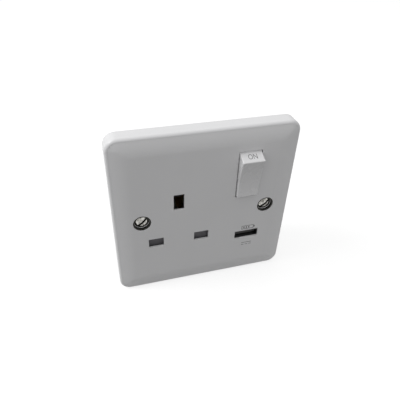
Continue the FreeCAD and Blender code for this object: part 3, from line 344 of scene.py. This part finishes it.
# Node, body, centre of its head's rim in mm, way it faces, slot's turn in degrees, rings of mesh
# on its head and in all, and sizes.
SCREWS = (
    ("fixing_screw_left", "root", (-30.15, -7.15, 0), FORWARD, 50, (40, 280), FIXING),
    ("fixing_screw_right", "root", (30.15, -7.15, 0), FORWARD, 50, (40, 280), FIXING),
    ("housing_screw_1", "root", (-29.7, 8.55, 27.0), BACKWARD, 24, (30, 100), HOUSING),
    ("housing_screw_2", "root", (29.7, 8.55, -27.0), BACKWARD, -58, (30, 100), HOUSING),
    ("neutral_terminal_screw", "neutral_clamp", (-21.7, 23.95, 25.0), BACKWARD, 12, (30, 66), CLAMP),
    ("earth_terminal_screw", "earth_clamp", (-11.15, 23.95, 25.0), BACKWARD, -31, (30, 66), CLAMP),
    ("live_terminal_screw", "live_clamp", (-0.6, 23.95, 25.0), BACKWARD, 74, (30, 66), CLAMP),
)


def turned_screw():
    """A lathe-turned shape about Y with a helical thread and a driver's slot."""
    tree = bpy.data.node_groups.new("turned_screw", "GeometryNodeTree")
    tree.interface.new_socket("Geometry", in_out="OUTPUT", socket_type="NodeSocketGeometry")
    for name in FIXING:
        tree.interface.new_socket(name, in_out="INPUT", socket_type="NodeSocketFloat")
    for name in ("Head Rings", "Rings"):
        tree.interface.new_socket(name, in_out="INPUT", socket_type="NodeSocketInt")
    tree.interface.new_socket("Slot Turn", in_out="INPUT", socket_type="NodeSocketFloat")
    tree.interface.new_socket("Material", in_out="INPUT", socket_type="NodeSocketMaterial")
    given = add(tree, "NodeGroupInput").outputs
    head, dome, rim, core = given["Head Radius"], given["Dome"], given["Rim"], given["Core"]

    # A unit sheet is rolled up: X goes round the screw, and Y runs from its head to its tip.
    grid = add(tree, "GeometryNodeMeshGrid", {
        "Size X": 1.0, "Size Y": 1.0, "Vertices X": AROUND + 1, "Vertices Y": given["Rings"]})
    spot = add(tree, "ShaderNodeSeparateXYZ", {0: add(tree, "GeometryNodeInputPosition")})
    turn = add(tree, MATH, {0: spot.outputs["X"], 1: 0.5}, operation="ADD")
    run = add(tree, MATH, {0: spot.outputs["Y"], 1: 0.5}, operation="ADD")
    split = add(tree, MATH, {0: given["Head Rings"], 1: given["Rings"]}, operation="DIVIDE")
    early = add(tree, "ShaderNodeMapRange", {"Value": run, "From Max": split})
    bunched = add(tree, MATH, {0: early, 1: early}, operation="MULTIPLY")
    late = add(tree, "ShaderNodeMapRange", {"Value": run, "From Min": split})

    # Depth below the head's rim: the head first, then the shank down to the tip.
    minus_dome = add(tree, MATH, {0: dome, 1: -1.0}, operation="MULTIPLY")
    step = add(tree, MATH, {0: head, 1: core}, operation="SUBTRACT")
    under = add(tree, MATH, {0: step, 1: given["Taper"], 2: rim}, operation="MULTIPLY_ADD")
    neck = add(tree, MATH, {0: under, 1: given["Pitch"]}, operation="ADD")
    near = add(tree, "ShaderNodeMapRange", {"Value": bunched, "To Min": minus_dome, "To Max": neck})
    rest = add(tree, MATH, {0: given["Length"], 1: neck}, operation="SUBTRACT")
    depth = add(tree, MATH, {0: late, 1: rest, 2: near}, operation="MULTIPLY_ADD")

    # Radius at that depth: dome, flank, threaded shank or point, whichever bounds it.
    fall = add(tree, "ShaderNodeMapRange", {"Value": depth, "From Min": minus_dome, "From Max": 0.0})
    curve = add(tree, MATH, {0: fall}, operation="SQRT")
    face = add(tree, MATH, {0: curve, 1: head}, operation="MULTIPLY")
    below = add(tree, MATH, {0: depth, 1: rim}, operation="SUBTRACT")
    slope = add(tree, MATH, {0: below, 1: given["Taper"]}, operation="DIVIDE")
    flank = add(tree, MATH, {0: head, 1: slope}, operation="SUBTRACT")
    turns = add(tree, MATH, {0: depth, 1: given["Pitch"]}, operation="DIVIDE")
    phase = add(tree, MATH, {0: turns, 1: turn}, operation="SUBTRACT")
    ridge = add(tree, MATH, {0: phase, 1: 0.5}, operation="PINGPONG")
    begun = add(tree, "ShaderNodeMapRange", {"Value": depth, "From Min": under, "From Max": neck,
                                             "To Max": 2.0})
    crest = add(tree, MATH, {0: ridge, 1: begun}, operation="MULTIPLY")
    shank = add(tree, MATH, {0: crest, 1: given["Thread"], 2: core}, operation="MULTIPLY_ADD")
    left = add(tree, MATH, {0: given["Length"], 1: depth}, operation="SUBTRACT")
    point = add(tree, MATH, {0: core, 1: 0.5, 2: left}, operation="MULTIPLY_ADD")
    body = add(tree, MATH, {0: shank, 1: point}, operation="MINIMUM")
    wide = add(tree, MATH, {0: flank, 1: body}, operation="MAXIMUM")
    outer = add(tree, MATH, {0: face, 1: wide}, operation="MINIMUM")
    open_end = add(tree, MATH, {0: run, 1: LAST_RING}, operation="LESS_THAN")
    radius = add(tree, MATH, {0: outer, 1: open_end}, operation="MULTIPLY")
    angle = add(tree, MATH, {0: turn, 1: 2 * math.pi}, operation="MULTIPLY")
    across = add(tree, MATH, {0: add(tree, MATH, {0: angle}, operation="SINE"), 1: radius},
                 operation="MULTIPLY")
    upward = add(tree, MATH, {0: add(tree, MATH, {0: angle}, operation="COSINE"), 1: radius},
                 operation="MULTIPLY")
    rolled = add(tree, "ShaderNodeCombineXYZ", {0: across, 1: depth, 2: upward})
    turned = add(tree, "GeometryNodeSetPosition", {"Geometry": grid, "Position": rolled})
    closed = add(tree, "GeometryNodeMergeByDistance", {"Geometry": turned, "Distance": SEAM_WELD})

    # The slot is milled across the dome.
    long = add(tree, MATH, {0: head, 1: CUTTER_LENGTH}, operation="MULTIPLY")
    deep = add(tree, MATH, {0: given["Slot Depth"], 1: CUTTER_DEPTH}, operation="MULTIPLY")
    mill = add(tree, "GeometryNodeMeshCube", {
        "Size": add(tree, "ShaderNodeCombineXYZ", {0: given["Slot Width"], 1: deep, 2: long})})
    milled = add(tree, "GeometryNodeTransform", {
        "Geometry": mill, "Translation": add(tree, "ShaderNodeCombineXYZ", {1: minus_dome}),
        "Rotation": add(tree, "ShaderNodeCombineXYZ", {1: given["Slot Turn"]})})
    cut = add(tree, "GeometryNodeMeshBoolean", {"Mesh 1": closed, "Mesh 2": milled},
              operation="DIFFERENCE", solver="EXACT")
    real = add(tree, "GeometryNodeRealizeInstances", {"Geometry": cut})
    clad = add(tree, "GeometryNodeSetMaterial", {"Geometry": real, "Material": given["Material"]})
    add(tree, "NodeGroupOutput", {"Geometry": clad})
    return tree


def grown(tree, settings):
    """The plain mesh that a tree gives with these inputs."""
    holder = bpy.data.objects.new("holder", bpy.data.meshes.new("holder"))
    bpy.context.scene.collection.objects.link(holder)
    modifier = holder.modifiers.new("tree", "NODES")
    modifier.node_group = tree
    for item in tree.interface.items_tree:
        if item.in_out == "INPUT" and item.name in settings:
            modifier[item.identifier] = settings[item.name]
    bpy.context.view_layer.update()
    mesh = bpy.data.meshes.new_from_object(holder.evaluated_get(bpy.context.evaluated_depsgraph_get()))
    bpy.data.objects.remove(holder)
    return mesh


def turned_zinc(name, centre, across):
    """Fine turned rings about the screw's own axis, clouded plating, and painted shade in its slot,
    which lies across the given direction."""
    material, tree = start_material(name)
    where = add(tree, "ShaderNodeTexCoord").outputs["Object"]
    own = add(tree, "ShaderNodeMapping", {"Vector": where, "Location": [-c * MM for c in centre]})
    flat = add(tree, "ShaderNodeVectorMath", {0: own, 1: (1, 0, 1)}, operation="MULTIPLY")
    reach = add(tree, "ShaderNodeVectorMath", {0: flat}, operation="LENGTH")
    rings = add(tree, MATH, {0: reach.outputs["Value"], 1: 2 * math.pi / RING_STEP},
                operation="MULTIPLY")
    waves = add(tree, MATH, {0: rings}, operation="SINE")
    clouds = add(tree, "ShaderNodeTexNoise", {
        "Vector": where, "Scale": 1 / PLATING_CLOUD, "Detail": 4.0})
    mottle = add(tree, "ShaderNodeMapRange", {
        "Value": clouds, "From Min": MOTTLE_FROM, "From Max": MOTTLE_TO})
    tint = add(tree, "ShaderNodeMix", {
        SHARE: mottle, PALE: linear("#C2C1BC"), DEEP: linear("#7A7873")}, data_type="RGBA")
    # Painted shade: near black is mixed in along the slot and near the head, standing in for the shade
    # inside the slot.
    aside = add(tree, "ShaderNodeVectorMath", {0: own, 1: across}, operation="DOT_PRODUCT")
    offset = add(tree, MATH, {0: aside.outputs["Value"]}, operation="ABSOLUTE")
    slot = add(tree, "ShaderNodeMapRange", {
        "Value": offset, "From Min": SLOT_SHADE_EDGE[0], "From Max": SLOT_SHADE_EDGE[1],
        "To Min": 1.0, "To Max": 0.0})
    height = add(tree, MATH, {0: add(tree, "ShaderNodeSeparateXYZ", {0: own}).outputs["Y"]},
                 operation="ABSOLUTE")
    head = add(tree, "ShaderNodeMapRange", {
        "Value": height, "From Min": SLOT_SHADE_DEPTH[0], "From Max": SLOT_SHADE_DEPTH[1],
        "To Min": 1.0, "To Max": 0.0})
    slot_shade = add(tree, MATH, {0: slot, 1: head}, operation="MULTIPLY")
    slot_shaded = add(tree, "ShaderNodeMix", {
        SHARE: slot_shade, PALE: tint.outputs[MIXED], DEEP: linear("#2A2927")}, data_type="RGBA")
    rough = add(tree, "ShaderNodeMapRange", {
        "Value": clouds, "From Min": NOISE_LOW, "From Max": NOISE_HIGH, "To Min": 0.16, "To Max": 0.3})
    bump = add(tree, "ShaderNodeBump", {"Height": waves, "Distance": RING_RELIEF, "Strength": 1.0})
    surface = add(tree, "ShaderNodeBsdfPrincipled", {
        "Base Color": slot_shaded.outputs[MIXED], "Metallic": 1.0, "Roughness": rough, "Normal": bump})
    add(tree, "ShaderNodeOutputMaterial", {"Surface": surface})
    return material


screw_shape = turned_screw()
for node, body, spot, way, degrees, rings, sizes in SCREWS:
    # Zinc on turned steel: bright and faintly ringed, so each head shows one hard glint.
    place = Matrix.Translation(Vector(spot) * MM) @ Matrix.Rotation(way, 4, "Z")
    across = place.to_3x3() @ Matrix.Rotation(math.radians(degrees), 3, "Y") @ Vector((1, 0, 0))
    settings = {key: value * MM for key, value in sizes.items()}
    settings.update({"Taper": sizes["Taper"], "Head Rings": rings[0], "Rings": rings[1],
                     "Slot Turn": math.radians(degrees),
                     "Material": turned_zinc("zinc_" + node, spot, across)})
    screw = put(node + "_turned", grown(screw_shape, settings), place)
    shade(screw, 35)
    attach(screw, body)
    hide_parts(node)

# Fixing eyelets
# Rings stamped from steel strip, pressed into the plate's two recesses so that a screw's head
# # can't chip the compound round it. Their near-black colour is painted shade, the dark ring round
# each head.

STAIN_SIZE = 0.8 * MM
STAIN_RELIEF = 0.004 * MM

# Steel coloured nearly black as painted shade for the recess round each screw, with only a dull edge
# of light round each screw.
steel_painted_shade, tree = start_material("steel_eyelet_painted_shade")
where = add(tree, "ShaderNodeTexCoord").outputs["Object"]
stain = add(tree, "ShaderNodeTexNoise", {"Vector": where, "Scale": 1 / STAIN_SIZE, "Detail": 4.0})
tint = add(tree, "ShaderNodeMix", {SHARE: stain, PALE: linear("#3C3C38"), DEEP: linear("#282826")},
           data_type="RGBA")
rough = add(tree, "ShaderNodeMapRange", {
    "Value": stain, "From Min": NOISE_LOW, "From Max": NOISE_HIGH, "To Min": 0.35, "To Max": 0.5})
bump = add(tree, "ShaderNodeBump", {"Height": stain, "Distance": STAIN_RELIEF, "Strength": 1.0})
surface = add(tree, "ShaderNodeBsdfPrincipled", {
    "Base Color": tint.outputs[MIXED], "Metallic": 1.0, "Roughness": rough, "Normal": bump})
add(tree, "ShaderNodeOutputMaterial", {"Surface": surface})
dress(steel_painted_shade, "fixing_eyelet_left", "fixing_eyelet_right")

# Pin shutter
# A polycarbonate slide behind the plate that hides the line and neutral contacts until an
# # earth pin lifts it; its dark grey is painted shade. An acetal retainer is staked to the plate
# behind it,
# # coloured near black as painted shade, and a small coil of spring steel above it, seated on the
# plate, presses it shut.

TARNISH_CLOUD = 3
ALONG_X, ALONG_Z = (14, 1, 1), (1, 1, 14)

# Polycarbonate left dull by its mould; its flat dark grey is painted shade, the shade in the two lower
# apertures.
shutter_painted_shade = moulded_plastic("polycarbonate_shutter_painted_shade", "#58575A", "#535255", (0.5, 0.6), 0.3)
dress(shutter_painted_shade, "shutter")
# Acetal, waxy and slightly glossy, coloured near black as painted shade so that it vanishes into the
# dark behind the apertures.
acetal = moulded_plastic("acetal_painted_shade", "#232323", "#1C1C1C", (0.35, 0.45))
dress(acetal, "shutter_retainer", "rocker_plunger")


def rolled_metal(name, pale, deep, gloss, along=ALONG_Z, grain=0.4, relief=0.002):
    """Streaks drawn out along one way, which also change the gloss; sizes in mm."""
    material, tree = start_material(name)
    where = add(tree, "ShaderNodeTexCoord").outputs["Object"]
    drawn = add(tree, "ShaderNodeMapping", {"Vector": where, "Scale": [1 / s for s in along]})
    streaks = add(tree, "ShaderNodeTexNoise", {
        "Vector": drawn, "Scale": 1 / (grain * MM), "Detail": 3.0})
    clouds = add(tree, "ShaderNodeTexNoise", {"Vector": where, "Scale": 1 / (TARNISH_CLOUD * MM)})
    tint = add(tree, "ShaderNodeMix", {SHARE: clouds, PALE: linear(pale), DEEP: linear(deep)},
               data_type="RGBA")
    rough = add(tree, "ShaderNodeMapRange", {
        "Value": streaks, "From Min": NOISE_LOW, "From Max": NOISE_HIGH,
        "To Min": gloss[0], "To Max": gloss[1]})
    bump = add(tree, "ShaderNodeBump", {"Height": streaks, "Distance": relief * MM, "Strength": 1.0})
    surface = add(tree, "ShaderNodeBsdfPrincipled", {
        "Base Color": tint.outputs[MIXED], "Metallic": 1.0, "Roughness": rough, "Normal": bump})
    add(tree, "ShaderNodeOutputMaterial", {"Surface": surface})
    return material


# Drawn spring steel: a cold grey with a bright line along each coil.
spring_wire = rolled_metal("spring_steel_drawn", "#B4B6B8", "#9EA0A2", (0.25, 0.35))
dress(spring_wire, "rocker_spring")

# The shutter's spring: its CAD node's coil as one plain mesh, where it stands.
spring = put("shutter_spring_wire", merged_copy("shutter_spring", "spring"))
shade(spring, 50)
paint(spring, spring_wire)
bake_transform(spring)
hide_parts("shutter_spring")

# Contacts and terminals
# Pin contacts folded from rolled brass strip, terminals cut from drawn brass bar and tapped, and
# a see-saw lever that brings one riveted silver button down on another.

# Rolled brass, a little tarnished: the brown-gold strip seen through the earth aperture.
brass = rolled_metal("brass_rolled", "#CDB07A", "#B3945E", (0.25, 0.4))
dress(brass, "live_contact", "neutral_contact", "earth_contact", "fixed_contact", "contact_lever",
      "lever_cradle")
# Drawn brass bar: yellower and brighter than the strip, streaked along its length.
brass_bar = rolled_metal("brass_drawn_bar", "#D9B768", "#C6A152", (0.2, 0.32), ALONG_X)
dress(brass_bar, "neutral_terminal", "earth_terminal", "live_terminal")
# Riveted silver: soft white metal, polished by its own closing.
silver = rolled_metal("silver_riveted", "#E2E0DB", "#CFCDC8", (0.2, 0.32))
dress(silver, "lever_contact_tip", "fixed_contact_tip")

# Rear moulding
# The same compound in a cheaper grade, matt from its mould, screwed to the plate's bosses. The
# letters by its three terminals stand up from it, and it is cut away for the fixing screws.

BASE_BACK = 22 * MM
BASE_ROUND = 0.3 * MM
LETTER_HEIGHT = 3.4 * MM
LETTER_RISE = 0.25 * MM
LETTER_ROOT = 0.02 * MM
LETTER_Z = 19.4 * MM
# Each terminal's letter, and where it stands along X in mm.
TERMINALS = (("N", -21.7), ("E", -11.15), ("L", -0.6))

# Matt urea: off-white and flat, with no glints except along its rounded edges.
urea_matt = moulded_plastic("urea_rear_matt", "#D2D1CC", "#CAC9C4", (0.5, 0.62), 0.5, 0.006)
base = put("rear_moulding", merged_copy("base_moulding", "base"))
bevel = base.modifiers.new("edges", "BEVEL")
bevel.width = BASE_ROUND
bevel.segments = 2
bevel.limit_method = "ANGLE"
bevel.angle_limit = math.radians(50)
shade(base, 40, even=True)
paint(base, urea_matt)
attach(base, "root")
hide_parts("base_moulding")
for letter, x in TERMINALS:
    place = (Matrix.Translation((x * MM, BASE_BACK + LETTER_RISE / 2 - LETTER_ROOT, LETTER_Z))
             @ Matrix.Rotation(math.pi, 4, "Z"))
    raised = lettering(letter, LETTER_HEIGHT, LETTER_RISE, urea_matt)
    mark = put("terminal_letter_" + letter, raised, place)
    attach(mark, "root")

# Charging port
# A steel shell folded from sheet and tin plated, round a moulded nylon tongue that carries four
# gold-flashed contacts. It sits in a pocket of the plate, behind its thin rim.

# Tinned steel: dull grey metal, dark inside the port where little light reaches.
tinned_steel = rolled_metal("tinned_steel_folded", "#7C7C7D", "#6C6C6E", (0.3, 0.45), ALONG_X)
dress(tinned_steel, "usb_shell")
# Nylon coloured dark grey as painted shade: the tongue is a dull dark bar inside the port.
nylon = moulded_plastic("nylon_tongue_painted_shade", "#4A4A4A", "#444444", (0.45, 0.55), 0.3)
dress(nylon, "usb_tongue")
# Gold flash: four thin warm lines on the tongue.
gold = rolled_metal("gold_flash", "#E6C878", "#D8B864", (0.18, 0.3))
dress(gold, "usb_pin_1", "usb_pin_2", "usb_pin_3", "usb_pin_4")

# Charger
# The board behind the port, of glass cloth and epoxy, carries a small transformer, two sleeved
# capacitors, a controller chip and a fuse resistor, all soldered to it by hand or by wave.

# Glass cloth and epoxy: deep green, glossy, with the cloth's weave faint under it.
laminate = moulded_plastic("epoxy_glass_green", "#245C3C", "#1D4F33", (0.25, 0.4), 0.8, 0.008)
dress(laminate, "usb_board")
# Sintered ferrite: near black, rough and grainy.
ferrite = moulded_plastic("ferrite_sintered", "#3B3C3E", "#303133", (0.6, 0.75), 0.3, 0.01)
dress(ferrite, "transformer_core")
# Polyester tape: yellow and shiny, slightly creased over the turns under it.
tape = moulded_plastic("polyester_tape_yellow", "#D8B040", "#CCA234", (0.25, 0.4), 1.2, 0.01)
dress(tape, "transformer_winding")
# Shrink sleeve: dark blue film, glossy where it is drawn tight.
sleeve = moulded_plastic("shrink_sleeve_dark_blue", "#2A2E3A", "#222530", (0.3, 0.42))
dress(sleeve, "capacitor_1", "capacitor_2")
# Moulded epoxy: flat black with a fine grit.
chip_black = moulded_plastic("epoxy_chip_black", "#2B2B2C", "#232324", (0.5, 0.62), 0.3, 0.004)
dress(chip_black, "controller_chip")
# Resistor cement: chalky blue-green.
cement = moulded_plastic("cement_resistor_teal", "#4F8890", "#447A82", (0.5, 0.6))
dress(cement, "fuse_resistor")

# Floor
# White paper under the object. The eye sees it lit from within, so that only the contact and a
# faint pool of shadow show, while the object itself gets a weaker bounce from it.

FLOOR_Z = -PLATE_HALF
FLOOR_HALF = 3
PAPER = 0.3
GLOW = 0.76
BOUNCE = 0.08

floor_mesh = bpy.data.meshes.new("floor")
floor_mesh.from_pydata([(x * FLOOR_HALF, y * FLOOR_HALF, FLOOR_Z)
                        for x, y in ((-1, -1), (1, -1), (1, 1), (-1, 1))], [], [(0, 1, 2, 3)])
floor = bpy.data.objects.new("floor", floor_mesh)
bpy.context.scene.collection.objects.link(floor)
white_paper, tree = start_material("floor_white")
shown = add(tree, "ShaderNodeAddShader", {
    0: add(tree, "ShaderNodeBsdfDiffuse", {"Color": (PAPER, PAPER, PAPER, 1)}),
    1: add(tree, "ShaderNodeEmission", {"Color": (1, 1, 1, 1), "Strength": GLOW})})
lit = add(tree, "ShaderNodeBsdfDiffuse", {"Color": (BOUNCE, BOUNCE, BOUNCE, 1)})
path = add(tree, "ShaderNodeLightPath")
seen = add(tree, MATH, {0: path.outputs["Is Camera Ray"], 1: path.outputs["Is Glossy Ray"]},
           operation="MAXIMUM")
mixed = add(tree, "ShaderNodeMixShader", {0: seen})
tree.links.new(lit.outputs[0], mixed.inputs[1])
tree.links.new(shown.outputs[0], mixed.inputs[2])
add(tree, "ShaderNodeOutputMaterial", {"Surface": mixed})
floor_mesh.materials.append(white_paper)

# Light
# One broad lamp up on the left, in a room that is brighter on that side; the face, which looks
# away from it, gets only the room's light.

WORLD_LEFT = 0.86
WORLD_RIGHT = 0.60
KEY_FROM = Vector((-0.70, 0.09, 0.70)).normalized()
KEY_AWAY = 0.9
KEY_SIZE = 0.4
KEY_POWER = 4.0

world = bpy.data.worlds.new("studio")
world.use_nodes = True
tree = world.node_tree
tree.nodes.clear()
# The eye, and whatever mirrors or passes light to it, finds a plain white background.
path = add(tree, "ShaderNodeLightPath")
seen = add(tree, MATH, {0: path.outputs["Is Camera Ray"], 1: path.outputs["Is Glossy Ray"]},
           operation="MAXIMUM")
seen = add(tree, MATH, {0: seen, 1: path.outputs["Is Transmission Ray"]}, operation="MAXIMUM")
aim = add(tree, "ShaderNodeSeparateXYZ", {0: add(tree, "ShaderNodeTexCoord").outputs["Generated"]})
room = add(tree, "ShaderNodeMapRange", {
    "Value": aim.outputs["X"], "From Min": -1.0, "To Min": WORLD_LEFT, "To Max": WORLD_RIGHT})
strength = add(tree, "ShaderNodeMapRange", {"Value": seen, "To Min": room, "To Max": 1.0})
backdrop = add(tree, "ShaderNodeBackground", {"Color": (1, 1, 1, 1), "Strength": strength})
add(tree, "ShaderNodeOutputWorld", {"Surface": backdrop})
bpy.context.scene.world = world

key = bpy.data.lights.new("key", "AREA")
key.shape = "DISK"
key.size = KEY_SIZE
key.energy = KEY_POWER
key_holder = bpy.data.objects.new("key", key)
bpy.context.scene.collection.objects.link(key_holder)
key_holder.location = KEY_FROM * KEY_AWAY
key_holder.rotation_euler = KEY_FROM.to_track_quat("Z", "Y").to_euler()

# Camera
# Set from the plate's corners and screws in the photograph: above the object and to its left,
# about 200 mm away.

CAMERA_AT = Vector((-47.136, -149.327, 120.433)) * MM
CAMERA_RIGHT = Vector((0.96050844, -0.27665368, 0.02977035))
CAMERA_DOWN = Vector((-0.14452545, -0.58745795, -0.79624465))
CAMERA_AHEAD = Vector((0.23777284, 0.76049714, -0.60424182))

camera_data = bpy.data.cameras.new("camera")
camera_data.lens = 36.5
camera_data.sensor_width = 36
camera_data.clip_start = 0.01
camera = bpy.data.objects.new("camera", camera_data)
bpy.context.scene.collection.objects.link(camera)
camera.matrix_world = (Matrix.Translation(CAMERA_AT)
                       @ Matrix((CAMERA_RIGHT, -CAMERA_DOWN, -CAMERA_AHEAD)).transposed().to_4x4())
bpy.context.scene.camera = camera
bpy.context.scene.view_settings.view_transform = "Standard"
